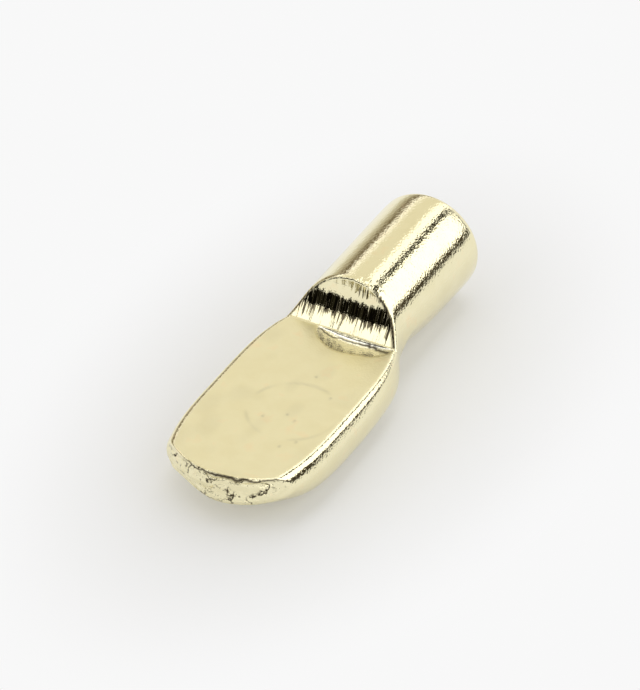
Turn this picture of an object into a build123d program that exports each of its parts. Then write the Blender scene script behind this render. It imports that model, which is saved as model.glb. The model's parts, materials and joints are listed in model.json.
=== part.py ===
from build123d import *
import math
import os

# A spoon-style shelf support pin: a round pin that plugs into a cabinet side, and a flat-topped spoon
# that carries the shelf. It is one piece of cold-formed metal.
#
# Millimetres. The pin's axis is X, with its free end towards +X and the spoon towards -X. +Z is up.
# The origin is on the pin's axis at the shoulder, where the pin becomes fully round.

# Pin
pin_diameter = 5.0
pin_length = 7.2            # from the shoulder to the free end
pin_end_radius = 0.45       # rounding of the free end

# Seat: the flat that carries the shelf, and the step that rises from it to the pin
seat_height = 0.25          # of the flat above the pin's axis
step_run = 1.1              # from the foot of the step forward to its rim
rim_setback = 0.2           # from the rim forward to the shoulder
step_foot_angle = 45.0      # of the step's curve where it leaves the flat, above horizontal

# Spoon: the widths are of the whole hull, which bulges a little wider than the flat
spoon_length = 11.7         # from the foot of the step to the middle of the blunt end
foot_width = 5.75           # at the foot of the step
spoon_width = 7.3           # at the fullest section
end_width = 5.2             # at the middle of the blunt end
spoon_depth = 2.5           # from the pin's axis down to the hull's lowest line
end_depth = 1.0             # the same at the middle of the blunt end, where the hull rises
bulge_drop = 0.6            # from the pin's axis down to the hull's widest line
foot_bulge_drop = 0.3
end_bulge_drop = 0.3
belly_squareness = 2.8      # of the hull's sections below the widest line, where 2 is elliptical
foot_belly_squareness = 2.0
end_belly_squareness = 1.8
shoulder_squareness = 1.5   # above the widest line
foot_shoulder_squareness = 1.7
end_shoulder_squareness = 1.1
fullest_share = 0.5         # share of the spoon's length from its foot to its fullest section
foot_width_quickness = 3.5  # how soon the width settles past the foot: the power of its curve
foot_quickness = 3          # the same for the depth and the shape of the sections
end_quickness = 4           # how late every size falls towards the blunt end
blunt_end_radius = 4.9      # of the blunt end's outward curve, seen from above
end_rounding = 0.1          # of the blunt end's sheared edges
rim_rounding = 0.12         # of the step's arched rim

pin_radius = pin_diameter / 2
rim_x = -rim_setback
foot_x = rim_x - step_run
end_x = foot_x - spoon_length
last_station = 1.04         # share of the spoon's length to a last section, cut off with the blunt end
hull_stations = 9
section_points = 24         # around each section of the hull
past_all = 4 * (spoon_length + pin_length)      # how far the cutting tools reach


def make_pin():
    """The round pin, from the shoulder to its rounded free end."""
    pin = Plane.YZ * Cylinder(pin_radius, pin_length, align=(Align.CENTER, Align.CENTER, Align.MIN))
    return fillet(pin.edges().sort_by(Axis.X)[-1], pin_end_radius)


def signed_power(value, exponent):
    return math.copysign(abs(value) ** exponent, value)


def hull_section(x, width, widest_drop, depth, upper, lower):
    """Across the spoon: half of one superellipse above the widest line, and of another below it."""
    points = []
    for i in range(section_points):
        turn = math.tau * i / section_points
        is_upper = math.sin(turn) > 0
        squareness = upper if is_upper else lower
        half_height = pin_radius + widest_drop if is_upper else depth - widest_drop
        across = width / 2 * signed_power(math.cos(turn), 2 / squareness)
        up = half_height * signed_power(math.sin(turn), 2 / squareness) - widest_drop
        points.append((x, across, up))
    return make_face(Spline(points, periodic=True))


def swell(share, at_foot, fullest, at_end, quickness=foot_quickness):
    """A size along the spoon: it settles from the foot to the fullest section, then falls to the end."""
    if share < fullest_share:
        return fullest + (at_foot - fullest) * (1 - share / fullest_share) ** quickness
    past_fullest = (share - fullest_share) / (1 - fullest_share)
    return fullest + (at_end - fullest) * past_fullest**end_quickness


def make_hull():
    """The spoon before its top is pressed flat: a boat-like hull that grows out of the pin."""
    sections = [Plane.YZ * Circle(pin_radius)]
    for i in range(hull_stations):
        share = last_station * i / (hull_stations - 1)
        x = foot_x - share * spoon_length
        width = swell(share, foot_width, spoon_width, end_width, foot_width_quickness)
        drop = swell(share, foot_bulge_drop, bulge_drop, end_bulge_drop)
        depth = swell(share, pin_radius, spoon_depth, end_depth)
        upper = swell(share, foot_shoulder_squareness, shoulder_squareness, end_shoulder_squareness)
        lower = swell(share, foot_belly_squareness, belly_squareness, end_belly_squareness)
        sections.append(hull_section(x, width, drop, depth, upper, lower))
    return loft(sections)


def blunt_end_room():
    """All the room inside the spoon's blunt end, which curves outward."""
    place = Location((end_x + blunt_end_radius, 0, 0))
    behind = Box(past_all, past_all, past_all, align=(Align.MIN, Align.CENTER, Align.CENTER))
    return place * Cylinder(blunt_end_radius, past_all) + place * behind


def seat_room():
    """The room over the flat. Its far side is the step, a curve that steepens from the flat to the rim."""
    foot = Vector(foot_x, seat_height)
    rim = Vector(rim_x, pin_radius)
    slope = Vector(1, 0).rotate(Axis.Z, step_foot_angle)
    face = TangentArc(foot, rim, tangent=slope)
    above = rim + (face % 1) * past_all
    outline = Polyline(rim, above, (-past_all, above.Y), (-past_all, seat_height), foot)
    return extrude(Plane.XZ * make_face([face, outline]), past_all, both=True)


def make_support():
    """The pin and the spoon in one piece, with the blunt end's sheared edges and the rim slightly rounded."""
    support = make_pin() + (make_hull() & blunt_end_room()) - seat_room()
    support = fillet(support.faces().sort_by(Axis.X)[0].edges(), end_rounding)
    step = support.faces().filter_by(GeomType.CYLINDER).sort_by(Axis.Z)[-1]
    return fillet(step.edges().sort_by(Axis.Z)[-1], rim_rounding)


os.makedirs("parts", exist_ok=True)
support = make_support()
export_step(support, "parts/shelf_support_pin.step")
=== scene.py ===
"""Looks of a spoon-style shelf support pin: cold-formed metal, plated bright brass, lying on a pale floor.

The model is in metres, but every size here is in millimetres, and is scaled when a mesh or lamp is made.
X runs along the pin, with its free end towards +X and the spoon towards -X. +Z is up. Left is +Y.
"""

import json
import math

import bpy
import numpy as np
from mathutils import Matrix, Vector


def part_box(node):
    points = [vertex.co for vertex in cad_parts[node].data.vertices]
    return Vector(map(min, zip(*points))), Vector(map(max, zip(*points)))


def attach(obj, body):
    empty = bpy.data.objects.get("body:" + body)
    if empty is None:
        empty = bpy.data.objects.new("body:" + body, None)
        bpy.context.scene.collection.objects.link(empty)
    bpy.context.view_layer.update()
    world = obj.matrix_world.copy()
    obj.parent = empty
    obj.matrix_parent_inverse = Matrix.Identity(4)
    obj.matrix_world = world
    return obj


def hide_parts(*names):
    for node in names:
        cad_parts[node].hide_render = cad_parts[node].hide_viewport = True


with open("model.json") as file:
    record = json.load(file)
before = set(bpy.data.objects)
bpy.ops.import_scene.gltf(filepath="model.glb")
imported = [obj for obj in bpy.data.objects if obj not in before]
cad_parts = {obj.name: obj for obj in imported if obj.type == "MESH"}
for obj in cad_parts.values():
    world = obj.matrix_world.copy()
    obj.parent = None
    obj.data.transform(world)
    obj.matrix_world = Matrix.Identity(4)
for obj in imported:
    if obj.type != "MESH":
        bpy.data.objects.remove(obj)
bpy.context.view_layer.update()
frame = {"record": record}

MM = 0.001
low, high = (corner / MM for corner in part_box("shelf_support_pin"))
mounts = {mount["name"]: mount for mount in frame["record"]["mounts"]}

# Pin
pin_radius = mounts["pin"]["dims"]["r_mm"]
pin_tip = high.x
tip_rounding = 0.4
tip_crown_start = 1.0           # back from the tip, where the pin begins to round over gently
tip_crown_radius = 8.0

# Seat and step
seat_height = mounts["shelf_seat"]["pos_m"][2] / MM
rim_x = -0.2
foot_x = -1.3
step_foot_angle = math.radians(45.0)
shoulder_rounding = 0.22
rim_rounding = 0.16
crease_rounding = 0.05

# Spoon: whole widths, and heights below the pin's axis
foot_width = 5.75
spoon_width = 7.3
end_width = 5.2
foot_depth = 2.45
spoon_depth = -low.z
end_depth = 1.2
foot_bulge_drop = 0.3           # down to the hull's widest line
bulge_drop = 0.6
end_bulge_drop = 0.3
foot_shoulder_squareness = 1.7  # of the hull's sections above the widest line, where 2 is elliptical
shoulder_squareness = 1.45
end_shoulder_squareness = 1.1
foot_belly_squareness = 2.1     # below the widest line
belly_squareness = 3.0
end_belly_squareness = 1.3
floor_height = low.z
floor_rounding = 0.08           # where the hull's lowest line is flattened against the floor

# What forging left of the underside
underside_fade = 1.3            # below the pin's axis, by where the next sizes count in full
neck_x = 0.95                   # where the underside is pinched, between the pin and the spoon
neck_depth = 0.38
neck_reach_to_pin = 1.1
neck_reach_to_spoon = 0.7
flare_x = -1.6                  # where the metal pushed out of the neck swells the underside
flare_height = 0.17
flare_reach = 1.6
left_nose_cut = 0.36            # off the hull's lower corners towards the blunt end, which is lopsided
right_nose_cut = 0.15
left_nose_across = (-0.8, 1.6)  # towards +Y, where that cut begins and where it is full
right_nose_across = (1.5, 2.7)  # towards -Y
nose_along = (8.3, 11.3)        # from the step's foot towards the blunt end

# Blunt end
end_overhang = 0.08             # of the skin, past the CAD's end
end_x = low.x - end_overhang
spoon_length = foot_x - end_x
blunt_end_radius = 4.2
blunt_end_half_width = 4.1      # past which its curve stays level
end_face_lean = 0.17            # how far the end face's upper part leans back, for each millimetre up
end_lean_start = -0.9
end_rounding = 0.12


def band(value, start, full):
    """0 before start, 1 past full, and smooth between."""
    share = np.clip((value - start) / (full - start), 0, 1)
    return share**2 * (3 - 2 * share)


def ridge(value, width):
    """1 at zero, falling smoothly away on both sides within about the width."""
    return np.exp(-((value / width) ** 2))


def smooth_max(a, b, reach):
    """The larger of two fields, rounded where they are within reach of each other."""
    overlap = np.maximum(reach - np.abs(a - b), 0)
    return np.maximum(a, b) + overlap**2 / (4 * reach)


def lattice(cells, seed):
    """A value from -1 to 1 for each cell, mixed from its numbers and the seed, the same at every run."""
    mixed = np.full(cells[0].shape, seed, dtype=np.uint64)
    for axis in cells:
        mixed = (mixed ^ axis.astype(np.int64).astype(np.uint64)) * np.uint64(0x9E3779B97F4A7C15)
        mixed ^= mixed >> np.uint64(29)
    return (mixed >> np.uint64(40)).astype(float) / 2**23 - 1


def lumps(places, size, seed):
    """Smooth noise between -1 and 1, with lumps of about the size given. places holds its coordinates."""
    away_from_zero = 1000       # cells, so that every cell's number is positive
    places = [place / size + away_from_zero for place in places]
    cells = [np.floor(place) for place in places]
    shares = [band(place - cell, 0, 1) for place, cell in zip(places, cells)]
    total = 0
    for corner in range(2 ** len(places)):
        offsets = [corner >> axis & 1 for axis in range(len(places))]
        weight = 1
        for share, offset in zip(shares, offsets):
            weight = weight * (share if offset else 1 - share)
        total = total + weight * lattice([cell + offset for cell, offset in zip(cells, offsets)], seed)
    return total


# Shape

def along(x, at_pin, at_foot, fullest, at_end, quickness=3, lateness=4):
    """A size of the hull's section: the pin's, then swelling to the fullest, then falling to the end's.

    quickness is how soon it settles past the foot, and lateness how late it falls towards the end.
    """
    share = (foot_x - x) / spoon_length
    half = 0.5
    rise = fullest + (at_foot - fullest) * np.clip(1 - share / half, 0, 1) ** quickness
    fall = (at_end - fullest) * np.clip(share / half - 1, 0, None) ** lateness
    turn = np.clip(x / foot_x, 0, 1)
    foot_slope = (fullest - at_foot) * quickness / half * -foot_x / spoon_length
    neck = at_pin + (at_foot - at_pin) * (3 - 2 * turn) * turn**2 + foot_slope * (turn**3 - turn**2)
    return np.where(share < 0, neck, rise + fall)


def forged_away(x, y, z):
    """How much slimmer the underside is than plain sections make it: at the neck and the nose's corners."""
    past_neck = x - neck_x
    to_pin = np.exp(-past_neck / neck_reach_to_pin)
    neck = neck_depth * np.where(past_neck > 0, to_pin, ridge(past_neck, neck_reach_to_spoon))
    flare = flare_height * ridge(x - flare_x, flare_reach)
    corners = left_nose_cut * band(y, *left_nose_across) + right_nose_cut * band(-y, *right_nose_across)
    nose = corners * band(foot_x - x, *nose_along)
    return (neck - flare + nose) * band(-z, 0, underside_fade)


def hull_field(x, y, z):
    """About the distance outside the hull, whose sections are half superellipses."""
    half_width = along(x, 2 * pin_radius, foot_width, spoon_width, end_width, 3.5, 3) / 2
    drop = along(x, 0, foot_bulge_drop, bulge_drop, end_bulge_drop)
    depth = along(x, pin_radius, foot_depth, spoon_depth, end_depth, lateness=3.2)
    upper = along(x, 2, foot_shoulder_squareness, shoulder_squareness, end_shoulder_squareness)
    lower = along(x, 2, foot_belly_squareness, belly_squareness, end_belly_squareness, 5, 1.5)
    crown = np.maximum(x - (pin_tip - tip_crown_start), 0) ** 2 / (2 * tip_crown_radius)
    less = crown + forged_away(x, y, z)
    above = z + drop > 0
    squareness = np.where(above, upper, lower)
    half_height = np.where(above, pin_radius + drop, depth - drop)
    tiny = 1e-9                 # keeps the powers below finite on the axis
    across = np.abs(y) / (half_width - less) + tiny
    upward = np.abs(z + drop) / (half_height - less) + tiny
    size = (across**squareness + upward**squareness) ** (1 / squareness)
    slope_across = across ** (squareness - 1) / half_width
    slope_upward = upward ** (squareness - 1) / half_height
    return (size - 1) / (size ** (1 - squareness) * np.hypot(slope_across, slope_upward))


# The step's profile is an arc, which is concave, from its foot on the flat to its rim on the pin
step_chord = Vector((rim_x - foot_x, pin_radius - seat_height))
step_half_turn = math.atan2(step_chord.y, step_chord.x) - step_foot_angle
step_radius = step_chord.length / (2 * math.sin(step_half_turn))
step_rim_angle = step_foot_angle + 2 * step_half_turn
step_centre_x = foot_x - step_radius * math.sin(step_foot_angle)
step_centre_z = seat_height + step_radius * math.cos(step_foot_angle)


def step_height(x):
    return step_centre_z - np.sqrt(np.maximum(step_radius**2 - (x - step_centre_x) ** 2, 0))


def seat_field(x, z):
    """The distance into the open room over the flat and in front of the step."""
    to_step = step_radius - np.hypot(np.maximum(x - step_centre_x, 0), z - step_centre_z)
    return -smooth_max(seat_height - z, -to_step, crease_rounding)


def end_sheet(y, z):
    """Where the blunt end's face is, along X."""
    aside = np.minimum(np.abs(y), blunt_end_half_width)
    curve = blunt_end_radius - np.sqrt(blunt_end_radius**2 - aside**2)
    return end_x + curve + end_face_lean * np.maximum(z - end_lean_start, 0)


def field(points):
    """About the distance outside the whole support: below zero inside, zero on its surface."""
    x, y, z = points[..., 0], points[..., 1], points[..., 2]
    edge = np.where(x > foot_x, rim_rounding, shoulder_rounding)
    body = smooth_max(hull_field(x, y, z), seat_field(x, z), edge)
    body = smooth_max(body, end_sheet(y, z) - x, end_rounding)
    body = smooth_max(body, floor_height - z, floor_rounding)
    return smooth_max(body, x - pin_tip, tip_rounding)


def gradient(points):
    nearby = 1e-4
    parts = []
    for axis in np.eye(3) * nearby:
        parts.append((field(points + axis) - field(points - axis)) / (2 * nearby))
    return np.stack(parts, axis=-1)


def settle(points):
    """Moves points onto the rounded surface, by Newton's method."""
    steps = 6
    least_slope_squared = 0.2   # keeps the steps short where the field is flat
    for _ in range(steps):
        slope = gradient(points)
        steepness = np.maximum((slope**2).sum(-1), least_slope_squared)
        points = points - (field(points) / steepness)[..., None] * slope
    return points


# The skin is a net of rings round the pin's axis, with a cap at each end
spoon_rings = 150
step_rings = 110
pin_rings = 80
cap_rings = 25
top_points = 120
corner_points = 16
bottom_points = 84
ring_points = top_points + 2 * corner_points + bottom_points
core_height = -1.0              # of the line that each ring's rays start from
least_corner = math.radians(24)  # from vertical, of the rings' corners on the pin
corner_reach = 0.28             # of the close points on each side of a corner
halvings = 34                   # when closing in on the surface
nearest_reach = 0.2             # from the rays' start, where the search for the surface begins and ends
farthest_reach = 6.0
past_all = 10.0
blunt_middle_height = -0.35


def ring_turns(corner_y, corner_z):
    """The angles from vertical of a ring's rays, close together at the two corners of its top."""
    reach = np.minimum(corner_reach, corner_y / 2)
    across = np.linspace(-1, 1, top_points)
    inner = (corner_y - reach)[:, None]
    top = np.arctan2(inner * across, (corner_z - core_height)[:, None])
    corner = np.arctan2(corner_y, corner_z - core_height)
    span = reach / np.hypot(corner_y, corner_z - core_height)
    first = top[:, -1]
    last = corner + span
    steps = np.arange(1, corner_points + 1) / corner_points
    right = first[:, None] + (last - first)[:, None] * steps
    under = np.arange(1, bottom_points + 1) / (bottom_points + 1)
    below = last[:, None] + (2 * math.pi - 2 * last)[:, None] * under
    left = 2 * math.pi - right[:, ::-1]
    return np.concatenate([top, right, below, left], axis=1)


def close_in(is_outside, inside, outside):
    """Where the outside begins, between two arrays of reaches."""
    for _ in range(halvings):
        middle = (inside + outside) / 2
        out = is_outside(middle)
        outside = np.where(out, middle, outside)
        inside = np.where(out, inside, middle)
    return inside


def corner_of(x):
    """The sharp corner of the top of the ring at x, and its height, or neither where the pin has none."""
    height = np.where(x < foot_x, seat_height, np.where(x < rim_x, step_height(x), pin_radius))
    edge = close_in(lambda y: hull_field(x, y, height) > 0, np.zeros_like(x), np.full_like(x, past_all / 2))
    none = np.arctan2(edge, height - core_height) < least_corner
    return np.where(none, np.nan, edge), np.where(none, np.nan, height)


def eased(start, end, count):
    """Values from start to end, closer together near both."""
    return start + (end - start) * (1 - np.cos(np.linspace(0, math.pi, count))) / 2


def ring_places():
    """Where the rings are along X, close together at the blunt end, the step and the tip."""
    spoon = eased(end_x, foot_x, spoon_rings)[:-1]
    step_turns = np.linspace(step_foot_angle, step_rim_angle, step_rings)
    step = step_centre_x + step_radius * np.sin(step_turns)
    pin = eased(rim_x, pin_tip, pin_rings)[1:]
    return np.concatenate([spoon, step, pin])


def all_turns(x):
    """The angles of each ring's rays. Past the rim, they even out towards the tip."""
    corner_y, corner_z = corner_of(x)
    missing = np.isnan(corner_y)
    last_found = np.flatnonzero(~missing)[-1]
    corner_y[missing] = corner_y[last_found]
    corner_z[missing] = corner_z[last_found]
    turns = ring_turns(corner_y, corner_z)
    even = turns[:, :1] + np.arange(ring_points) * 2 * math.pi / ring_points
    evened_by = rim_x + 3
    return turns + (even - turns) * band(x, rim_x, evened_by)[:, None]


def cap(ring, middle, place_along):
    """Rings that shrink from the ring given to the middle of an end face, each put on that face along X."""
    closeness = 1.6             # of the first rings to the edge
    rings = []
    for share in 1 - np.linspace(0, 1, cap_rings + 2)[1:-1] ** closeness:
        spot = middle + share * (ring - middle)
        spot[:, 0] = place_along(spot[:, 1], spot[:, 2])
        rings.append(spot)
    return np.array(rings)


def net():
    """The rings' sharp places, before the edges are rounded, and the two caps' middles."""
    x = ring_places()
    turns = all_turns(x)
    bend = (np.clip((foot_x - x) / spoon_length, 0, 1) ** 4)[:, None]
    x = x[:, None] + 0 * turns
    ceiling = np.where(x < rim_x, np.where(x < foot_x, seat_height, step_height(x)), past_all)

    def place(reach):
        y = reach * np.sin(turns)
        z = core_height + reach * np.cos(turns)
        return np.stack([x + bend * (end_sheet(y, z) - end_x), y, z], axis=-1)

    def is_outside(reach):
        spot = place(reach)
        return (hull_field(*np.moveaxis(spot, -1, 0)) > 0) | (spot[..., 2] > ceiling)

    reach = close_in(is_outside, np.full_like(turns, nearest_reach), np.full_like(turns, farthest_reach))
    body = place(reach)
    blunt_middle = np.array([end_sheet(0.0, blunt_middle_height), 0, blunt_middle_height])
    tip_middle = np.array([pin_tip, 0, 0])
    blunt = cap(body[0], blunt_middle, end_sheet)
    tip = cap(body[-1], tip_middle, lambda y, z: pin_tip)
    return np.concatenate([blunt[::-1], body, tip]), np.array([blunt_middle, tip_middle])


def skin_faces(ring_count):
    """Quads between the rings, and triangles to the two caps' middles."""
    start = np.arange(ring_count - 1)[:, None] * ring_points
    point = np.arange(ring_points)
    following = (point + 1) % ring_points
    onward = start + ring_points
    quads = np.stack([start + point, onward + point, onward + following, start + following], axis=-1)
    blunt_middle = ring_count * ring_points
    last = (ring_count - 1) * ring_points
    faces = quads.reshape(-1, 4).tolist()
    faces += [(blunt_middle, int(a), int(b)) for a, b in zip(point, following)]
    faces += [(blunt_middle + 1, int(b), int(a)) for a, b in zip(last + point, last + following)]
    return faces


# Relief: how far the surface stands out of the plain shape, for what forging, shearing and milling left.
# Grime and shade, scores: how dark or scratched it is, from 0 to 1. The darkening is partly dirt and partly
# painted shade, in the crease at the step's foot, in the cracks, under the end's edge and along the ring
# mark.
# The last value that lumps() takes is its seed.

hollow_reach = 1.3              # of the hollow at the step's foot, over the flat
hollow_middle_y = -0.75
hollow_half_width = 1.95
hollow_slope = 0.17
ring_mark_x, ring_mark_y, ring_mark_radius = -7.4, -0.9, 2.05
pit_places = (                  # along X and Y
    (-8.3, 0.1), (-7.7, -0.8), (-8.0, -1.3), (-9.9, -1.6), (-9.3, -2.1), (-5.8, -1.9), (-4.7, -0.6),
)
pit_radius = 0.07
gouge_depth = 0.04
step_middle_density = 0.75      # of the step's scratches
step_patch_density = 0.55
step_side_density = 0.85
step_side_y = 2.05              # of the grooves at the step's two sides
hollow_raggedness = 0.08        # of the hollow's front edge
ring_mark_depth = 0.0012
wave_height = 0.0012            # on the flat
burr_height = 0.035
end_lump_height = 0.045
end_grain_height = 0.014
tear_depth = 0.07
tear_width = 0.055
crack_width = 0.05
crack_wander = 0.16             # of a crack's line, to both sides
hammered_height = 0.006
hammered_grain_height = 0.0022
groove_layers = (               # depth, width, how many times longer than wide, seed
    (0.006, 0.26, 6, 11),
    (0.005, 0.11, 9, 12),
    (0.003, 0.07, 12, 13),
)


def step_turn(x, z):
    """The slope of the step's profile there, in degrees: 45 at its foot, and steepest at its rim."""
    return np.degrees(np.arctan2(x - step_centre_x, step_centre_z - z))


def step_grooves(x, y, z):
    """Scraped grooves down the step, of several widths, each fading in and out along its way."""
    down = np.radians(step_turn(x, z)) * step_radius
    grooves = sum(depth * lumps((y, down / long), width, seed) for depth, width, long, seed in groove_layers)
    gouges = gouge_depth * np.maximum(lumps((y, down / 5), 0.4, 14) - 0.45, 0)
    return grooves - gouges


def step_scores(x, y, z):
    """How densely the step is scored: at its middle, in a patch near its rim, and in grooves at its sides."""
    turn = step_turn(x, z)
    middle = step_middle_density * band(turn, 47, 57) * band(69 - turn, 0, 3)
    near_rim = band(turn, 70, 73) * band(80 - turn, 0, 3)
    patch = step_patch_density * near_rim * band(-y, 0.1, 0.6) * band(y + 2.0, 0, 0.3)
    sides = step_side_density * ridge(np.abs(y + 0.02) - step_side_y, 0.17) * band(turn, 46, 51)
    return np.maximum(np.maximum(middle, patch), sides)


def step_edge_dark_line(x, y):
    """A dark line just inside the step's rim, thicker on its right, where the cutter tore it."""
    samples = np.linspace(foot_x, rim_x, 60)
    edge, _ = corner_of(samples)
    inside = np.interp(x, samples, np.nan_to_num(edge)) - np.abs(y)
    width = np.where(y < 0, 0.15, 0.07) * (1 + 0.5 * lumps((x, y), 0.25, 15))
    return np.where(y < 0, 0.95, 0.7) * ridge(inside - 0.1, width)


def across_hollow(y):
    """1 down the middle of the hollow at the step's foot, and 0 at its sides."""
    return np.clip(1 - ((y - hollow_middle_y) / hollow_half_width) ** 2, 0, 1)


def hollow_relief(x, y):
    """The hollow at the step's foot, deepest against the step."""
    roundness = np.sqrt(across_hollow(y))
    front = foot_x - hollow_reach * roundness + hollow_raggedness * lumps((y,), 0.5, 21)
    return -hollow_slope * np.maximum(x - front, 0) * roundness * band(foot_x - x, -0.05, 0.12)


def from_ring_mark(x, y):
    return np.hypot(x - ring_mark_x, y - ring_mark_y) - ring_mark_radius


def flat_relief(x, y):
    """The hollow, the faint ring that a punch left, and gentle waves."""
    ring = ring_mark_depth * ridge(from_ring_mark(x, y), 0.07) * band(lumps((x, y), 1.1, 22), -0.3, 0.5)
    waves = wave_height * lumps((x, y), 1.7, 23)
    return hollow_relief(x, y) - ring + waves


def flat_smudges_and_shade(x, y):
    """How dark the flat is: in its pits, in a few smudges, and along the ring mark, where it is painted shade
    for the mark's faint slope.
    """
    pits = sum(ridge(np.hypot(x - pit_x, y - pit_y), pit_radius) for pit_x, pit_y in pit_places)
    # Painted shade: the ring mark's slope is too faint to show in the metal, so the ring is darkened.
    ring = 0.13 * ridge(from_ring_mark(x, y), 0.09) * band(lumps((x, y), 1.1, 22), -0.2, 0.6)
    smudges = 0.05 * band(lumps((x / 1.6, y), 0.9, 24), 0.1, 0.8)
    return np.clip(0.28 * pits + ring + smudges, 0, 1)


def foot_crease_shade(x, y):
    """The ragged dark line in the hollow along the step's foot: painted shade in the crease there."""
    ragged = 0.22 + 0.1 * lumps((y,), 0.33, 25) + 0.06 * lumps((y,), 0.12, 26)
    width = 0.06 + 0.07 * band(-y, 0.5, 2)
    return 0.9 * ridge(foot_x - x - ragged, width) * band(across_hollow(y), 0, 0.25)


def burr_relief(x, y, z):
    """Crumbs of metal pushed over the rim, right of its top."""
    near_rim = band(rim_x + 0.5 - x, 0, 0.25) * ridge(y + 0.75, 0.75) * band(z, 1, 2)
    return burr_height * near_rim * np.maximum(lumps((x, y), 0.13, 43) + 0.1, 0)


def end_crack(y, z, depth, middle_y, lean, start, wander_size, seed):
    """One crack down the sheared face. It starts so far below the pin's axis, and is full a little lower."""
    wander = crack_wander * lumps((z,), wander_size, seed)
    return depth * ridge(y - middle_y + lean * z + wander, crack_width) * band(-z, start, start + 0.3)


def end_relief(y, z):
    """The blunt end's sheared face: lumps, a tear along its upper edge, and two cracks down it."""
    coarse = end_lump_height * lumps((y, z * 1.3), 0.62, 31)
    fine = end_grain_height * lumps((y, z), 0.22, 32)
    tear_line = seat_height - 0.26 - 0.07 * lumps((y,), 0.5, 33)
    tear = tear_depth * ridge(z - tear_line, tear_width) * band(lumps((y,), 0.9, 34), -0.75, 0.1)
    right_crack = end_crack(y, z, 0.06, middle_y=-0.5, lean=1.1, start=0.2, wander_size=0.3, seed=35)
    left_crack = end_crack(y, z, 0.05, middle_y=1.3, lean=0.5, start=0.1, wander_size=0.35, seed=36)
    return coarse + fine - tear - right_crack - left_crack


def end_edge_shade(y, z):
    """The torn dark line under the flat's end edge, thickest right of its middle: painted shade under that
    edge.
    """
    ragged = 0.1 + 0.05 * lumps((y,), 0.28, 37) + 0.03 * lumps((y,), 0.1, 38)
    width = 0.035 + 0.075 * ridge(y + 0.8, 0.8)
    return 0.95 * ridge(seat_height - z - ragged, width) * band(1.9 - y, 0, 0.8)


def hull_relief(x, y, z):
    """Soft hammered waves on the rough underside of the spoon and pin."""
    waves = hammered_height * lumps((x / 1.5, y, z), 0.8, 41)
    return waves + hammered_grain_height * lumps((x, y, z), 0.3, 42)


# Materials

class Shading:
    """Makes a material's nodes and joins them up."""

    def __init__(self, name):
        self.material = bpy.data.materials.new(name)
        self.material.use_nodes = True
        self.nodes = self.material.node_tree.nodes
        self.principled = self.nodes["Principled BSDF"]
        self.output = self.nodes["Material Output"]

    def feed(self, socket, value):
        """Gives a socket a constant, or the output of another node."""
        if isinstance(value, bpy.types.NodeSocket):
            self.material.node_tree.links.new(value, socket)
        else:
            socket.default_value = value

    def add(self, kind, inputs, **settings):
        node = self.nodes.new("ShaderNode" + kind)
        for setting, value in settings.items():
            setattr(node, setting, value)
        for key, value in inputs.items():
            self.feed(node.inputs[key], value)
        return node

    def attribute(self, name, output="Fac"):
        return self.add("Attribute", {}, attribute_name=name).outputs[output]

    def millimetres(self):
        """The place on the object, in millimetres."""
        place = self.add("TexCoord", {}).outputs["Object"]
        return self.add("VectorMath", {0: place, "Scale": 1 / MM}, operation="SCALE").outputs[0]

    def noise(self, place, size, detail, along_way=1.0):
        """Noise of a size in millimetres. along_way under 1 draws it out along X and Z, into streaks."""
        if along_way != 1.0:
            stretch = (along_way, 1.0, along_way)
            place = self.add("VectorMath", {0: place, 1: stretch}, operation="MULTIPLY").outputs[0]
        return self.add("TexNoise", {"Vector": place, "Scale": 1 / size, "Detail": detail}).outputs["Fac"]

    def ramp(self, source, *stops):
        node = self.add("ValToRGB", {"Fac": source})
        elements = node.color_ramp.elements
        for index, (position, colour) in enumerate(stops):
            element = elements[index] if index < 2 else elements.new(position)
            element.position = position
            element.color = (*colour, 1)
        return node.outputs["Color"]

    def to_range(self, source, low_from, high_from, low_to, high_to):
        limits = {"From Min": low_from, "From Max": high_from, "To Min": low_to, "To Max": high_to}
        return self.add("MapRange", {"Value": source, **limits}).outputs["Result"]

    def calculate(self, operation, *values):
        return self.add("Math", dict(enumerate(values)), operation=operation).outputs[0]

    def blend(self, share, first, second):
        inputs = {"Factor": share, "A": first, "B": second}
        return self.add("Mix", inputs, data_type="RGBA").outputs["Result"]

    def bump(self, height, distance, strength=1.0, below=None):
        inputs = {"Height": height, "Distance": distance * MM, "Strength": strength}
        if below is not None:
            inputs["Normal"] = below
        return self.add("Bump", inputs).outputs["Normal"]


brass_tints = (
    (0.35, (0.88, 0.81, 0.53)),
    (0.6, (0.9, 0.835, 0.56)),
    (0.75, (0.92, 0.8, 0.52)),
)
bare_brass = (1.0, 0.98, 0.86, 1)
# Dirt and painted shade alike darken the brass towards this colour.
grime_and_shade_colour = (0.032, 0.018, 0.006, 1)
polished_roughness = 0.045
satin_roughness = 0.3


def brass_cracks(shading, place, torn):
    """Thin broken cracks over the sheared end, along the middle value of a noise."""
    off_middle = shading.calculate("SUBTRACT", shading.noise(place, 1.0, 4.0), 0.5)
    from_crack = shading.calculate("ABSOLUTE", off_middle)
    broken = shading.to_range(shading.noise(place, 0.9, 1.0), 0.4, 0.5, 0.0, 1.0)
    broken = shading.calculate("MULTIPLY", torn, broken)
    return shading.calculate("MULTIPLY", shading.to_range(from_crack, 0.004, 0.022, 1.0, 0.0), broken)


def brass_scratches(shading, place):
    """Dark scratches down the step, the denser the more it is scored."""
    scored = shading.attribute("scored")
    density = shading.calculate("MULTIPLY", scored, 0.42)
    lines = shading.calculate("ADD", shading.noise(place, 0.055, 1.0, 0.04), density)
    lines = shading.to_range(lines, 0.72, 0.8, 0.0, 0.9)
    return shading.calculate("MULTIPLY", lines, shading.to_range(scored, 0.02, 0.1, 0, 1))


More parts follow.
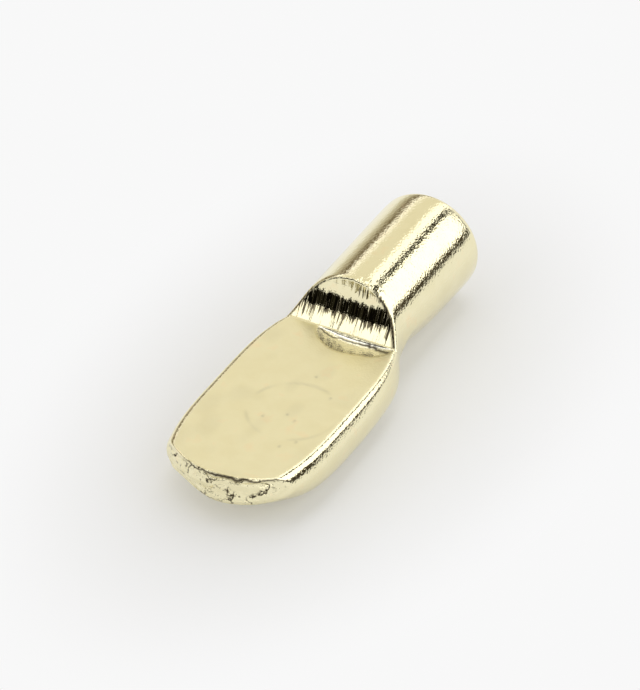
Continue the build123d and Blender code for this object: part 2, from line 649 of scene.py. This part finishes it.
def brass_material():
    """Plated brass: satin on the flat, streaked on the step, torn on the blunt end, with orange peel."""
    shading = Shading("bright_brass_plating")
    place = shading.millimetres()
    torn = shading.attribute("torn")
    streaked = shading.attribute("streaked")
    # The cracks are bumped and also darkened: that darkening is painted shade inside them.
    crack = brass_cracks(shading, place, torn)
    speck = shading.to_range(shading.noise(place, 0.2, 1.0), 0.68, 0.76, 0.0, 0.6)
    grime = shading.calculate("MAXIMUM", crack, shading.calculate("MULTIPLY", speck, torn))
    grime = shading.calculate("MAXIMUM", grime, brass_scratches(shading, place))
    # The mesh's darkening: dirt, plus painted shade in the crease at the step's foot, along the ring mark and
    # under the end's edge.
    grime = shading.calculate("MAXIMUM", grime, shading.attribute("grime"))

    tint = shading.ramp(shading.noise(place, 0.9, 3.0), *brass_tints)
    colour = shading.blend(shading.attribute("bare"), tint, bare_brass)
    colour = shading.blend(grime, colour, grime_and_shade_colour)
    shading.feed(shading.principled.inputs["Base Color"], colour)
    shading.feed(shading.principled.inputs["Metallic"], 1.0)

    satin = shading.to_range(shading.attribute("satin"), 0, 1, polished_roughness, satin_roughness)
    grain = shading.to_range(shading.noise(place, 0.25, 3.0), 0.3, 0.7, 0.0, 0.03)
    shading.feed(shading.principled.inputs["Roughness"], shading.calculate("ADD", satin, grain))

    less_on_step = shading.to_range(streaked, 0, 1, 1, 0.3)
    relief = shading.bump(shading.noise(place, 0.1, 1.5), 0.0105, less_on_step)
    relief = shading.bump(shading.noise(place, 0.06, 1.0, 0.05), 0.009, streaked, relief)
    relief = shading.bump(shading.noise(place, 0.3, 3.0), 0.024, shading.attribute("hammered"), relief)
    relief = shading.bump(shading.noise(place, 0.3, 5.0), 0.09, torn, relief)
    relief = shading.bump(shading.calculate("SUBTRACT", 1.0, crack), 0.03, torn, relief)
    shading.feed(shading.principled.inputs["Normal"], relief)
    return shading.material


def glowing_material(name):
    """Glows with the colour in the mesh's shade attribute."""
    shading = Shading(name)
    shading.nodes.remove(shading.principled)
    glow = shading.add("Emission", {"Color": shading.attribute("shade", "Color")})
    shading.feed(shading.output.inputs["Surface"], glow.outputs[0])
    return shading.material


pale = (0.94, 0.94, 0.94, 1)
paper_colour = (0.945, 0.95, 0.962, 1)
near_reach = 5.0                # from the support's middle, where the floor begins to pale
far_reach = 13.0                # where it is all pale
near_paleness = 0.2
floor_squash = 0.55             # of those reaches' shape along X, in which the support is long
floor_shift = 1.6               # along X, after the squash


def floor_material():
    """Paper that keeps the support's shadow, and pales to the background away from it."""
    shading = Shading("pale_floor")
    paper = shading.principled
    shading.feed(paper.inputs["Base Color"], paper_colour)
    shading.feed(paper.inputs["Roughness"], 0.9)
    shading.feed(paper.inputs["Specular IOR Level"], 0.0)
    glow = shading.add("Emission", {"Color": pale})
    rays = shading.add("LightPath", {}).outputs
    seen = shading.calculate("MAXIMUM", rays["Is Camera Ray"], rays["Is Glossy Ray"])
    seen = shading.calculate("MAXIMUM", seen, rays["Is Transmission Ray"])
    place = shading.add("NewGeometry", {}).outputs["Position"]
    shift = (floor_shift * MM, 0, 0)
    around = shading.add("Mapping", {"Vector": place, "Location": shift, "Scale": (floor_squash, 1, 0)})
    distance = shading.add("VectorMath", {0: around.outputs["Vector"]}, operation="LENGTH").outputs["Value"]
    limits = {"From Min": near_reach * MM, "From Max": far_reach * MM, "To Min": near_paleness}
    far = shading.add("MapRange", {"Value": distance, **limits}, interpolation_type="SMOOTHSTEP")
    share = shading.calculate("MULTIPLY", far.outputs["Result"], seen)
    mix = shading.add("MixShader", {"Fac": share, 1: paper.outputs[0], 2: glow.outputs[0]})
    shading.feed(shading.output.inputs["Surface"], mix.outputs[0])
    return shading.material


# Pieces

def add_piece(name, points, faces, material, smooth=True):
    mesh = bpy.data.meshes.new(name)
    mesh.from_pydata((np.asarray(points) * MM).tolist(), [], faces)
    mesh.update()
    if smooth:
        mesh.shade_smooth()
    mesh.materials.append(material)
    piece = bpy.data.objects.new(name, mesh)
    bpy.context.scene.collection.objects.link(piece)
    return piece


def surface_zones(x, z, normal):
    """How far each point belongs to the flat, the step, the blunt end, its edge and the underside, 0 to 1."""
    facing_end = -normal[:, 0]
    past_foot = foot_x - x
    near_end = band(past_foot, 5, 6)
    flat = band(normal[:, 2], 0.96, 0.995) * band(z, 0.15, 0.2) * band(past_foot, -0.02, 0.02)
    step = band(facing_end, 0.3, 0.6) * band(x, foot_x - 0.05, foot_x + 0.02) * band(z, 0.2, 0.3)
    end = band(facing_end, 0.55, 0.85) * near_end
    end_edge = band(facing_end, 0.3, 0.6) * near_end
    belly = band(-normal[:, 2], -0.15, 0.2)
    return flat, step, end, end_edge, belly


def paint(support, marks):
    """Stores a value for every point under each name, for the material to read."""
    for name, values in marks.items():
        attribute = support.data.attributes.new(name, "FLOAT", "POINT")
        attribute.data.foreach_set("value", values.astype(np.float32))


def build_support():
    rings, middles = net()
    points = settle(np.concatenate([rings.reshape(-1, 3), middles]))
    x, y, z = points.T
    slope = gradient(points)
    normal = slope / np.linalg.norm(slope, axis=1, keepdims=True)
    flat, step, end, end_edge, belly = surface_zones(x, z, normal)
    relief = flat * flat_relief(x, y) + step * step_grooves(x, y, z) + end * end_relief(y, z)
    relief += belly * hull_relief(x, y, z) + burr_relief(x, y, z)
    surface = points + relief[:, None] * normal
    support = add_piece("shelf_support_pin_skin", surface, skin_faces(len(rings)), brass_material())

    in_hollow = band(-flat_relief(x, y), 0.004, 0.02)
    # Darkening: dirt, with painted shade in the crease at the step's foot, along the ring mark and under the
    # end's edge.
    flat_dirt_and_shade = flat * np.maximum(flat_smudges_and_shade(x, y), foot_crease_shade(x, y))
    step_edge_dark = step * step_edge_dark_line(x, y)
    end_shade = end_edge * end_edge_shade(y, z)
    paint(support, {
        "scored": step * step_scores(x, y, z),
        "bare": flat * in_hollow,
        "grime": np.maximum(np.maximum(flat_dirt_and_shade, step_edge_dark), end_shade),
        "satin": flat * (1 - 0.8 * in_hollow),
        "streaked": step,
        "torn": end,
        "hammered": belly,
    })
    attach(support, "root")
    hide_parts("shelf_support_pin")


# Stage: a pale floor and a pale room, with soft boxes and dark strips for the metal to reflect

floor_half_size = 4000.0
card_distance = 900.0
white = (1.75, 1.75, 1.75)
bright = (1.5, 1.5, 1.5)
tan = (0.87, 0.835, 0.725)
light_shade = (0.5, 0.455, 0.37)
deep_shade = (0.13, 0.1, 0.06)
dark = (0.02, 0.018, 0.012)


def add_floor():
    corners = [(a * floor_half_size, b * floor_half_size, floor_height)
               for a, b in ((-1, -1), (1, -1), (1, 1), (-1, 1))]
    floor = add_piece("floor", corners, [(0, 1, 2, 3)], floor_material(), smooth=False)


def add_world():
    world = bpy.data.worlds.new("pale_room")
    world.use_nodes = True
    background = world.node_tree.nodes["Background"]
    background.inputs["Color"].default_value = pale
    background.inputs["Strength"].default_value = 1.0
    bpy.context.scene.world = world


def add_card(name, direction, turns, sides, colours, lights_floor=True):
    """A glowing card that the camera doesn't see, between two turns in degrees and two sides.

    Its colour blends from the first, at the first turn, to the last.
    """
    start, end = turns
    side_from, side_to = sides
    ways = ((start, side_from), (end, side_from), (end, side_to), (start, side_to))
    corners = [card_distance * direction(math.radians(turn), side) for turn, side in ways]
    card = add_piece(name, corners, [(0, 1, 2, 3)], glowing_material(name), smooth=False)
    first, last = colours
    shade = card.data.attributes.new("shade", "FLOAT_COLOR", "POINT")
    shade.data.foreach_set("color", [*first, 1, *last, 1, *last, 1, *first, 1])
    card.visible_camera = False
    card.visible_diffuse = lights_floor


def beside(turn, side):
    """A direction turned from vertical towards -Y, and along X by the side."""
    return np.array((side, -math.sin(turn), math.cos(turn)))


def in_front(turn, side):
    """A direction raised from -X, and along Y by the side."""
    return np.array((-math.cos(turn), side, math.sin(turn)))


def add_cards():
    far = (-0.5, 3)
    near = (-1, 1.36)
    add_card("far_wall", beside, (-89, -74), far, ((0.72, 0.7, 0.62), light_shade))
    add_card("far_shade", beside, (-74, -65), far, (light_shade, deep_shade))
    add_card("far_dark", beside, (-65, -56), far, (deep_shade, (0.3, 0.26, 0.2)))
    add_card("far_bright_edge", beside, (-56, -45), far, ((1.4, 1.36, 1.4), (1.05, 1.03, 1.0)))
    add_card("grey_ceiling", beside, (-45, -8), far, (tan, tan))
    add_card("bright_ceiling", beside, (-8, 12), far, (bright, bright))
    add_card("upper_lip", beside, (11, 23), (-1, 1.25), (dark, (0.06, 0.055, 0.04)))
    add_card("side_box", beside, (23, 74), (-1, 1.16), (white, white), lights_floor=False)
    add_card("end_lip", beside, (12, 86), (1.17, 1.36), (dark, dark))
    add_card("lower_lip", beside, (73, 89), near, ((0.12, 0.1, 0.07), dark))
    add_card("front_dark", in_front, (3, 27), (0.12, 0.85), (dark, dark))
    add_card("front_box", in_front, (27, 62), (0.15, 0.62), (bright, bright))
    add_card("front_right_lip", in_front, (27, 62), (-0.1, 0.13), (dark, dark))
    add_card("front_left_lip", in_front, (27, 62), (0.64, 0.9), (dark, dark))


def add_camera():
    """Looks at the support from its spoon's end, to its right, and above."""
    right = Vector((0.4803, -0.8771, 0))
    up = Vector((0.5247, 0.2873, 0.8013))
    back = Vector((-0.7028, -0.3849, 0.5982))
    aim_left = 0.965            # of the step's foot, at the height of the pin's axis
    aim_down = 0.361
    aim = Vector((foot_x, 0, 0)) - aim_left * right - aim_down * up
    distance = 450.2
    pixels_per_millimetre = 22.5805
    picture_height = 690
    data = bpy.data.cameras.new("camera")
    data.lens = pixels_per_millimetre * distance * data.sensor_width / picture_height
    camera = bpy.data.objects.new("camera", data)
    bpy.context.scene.collection.objects.link(camera)
    turn = Matrix((right, up, back)).transposed().to_4x4()
    camera.matrix_world = Matrix.Translation((aim + distance * back) * MM) @ turn
    bpy.context.scene.camera = camera


build_support()
add_floor()
add_world()
add_cards()
add_camera()
bpy.context.scene.view_settings.view_transform = "Standard"
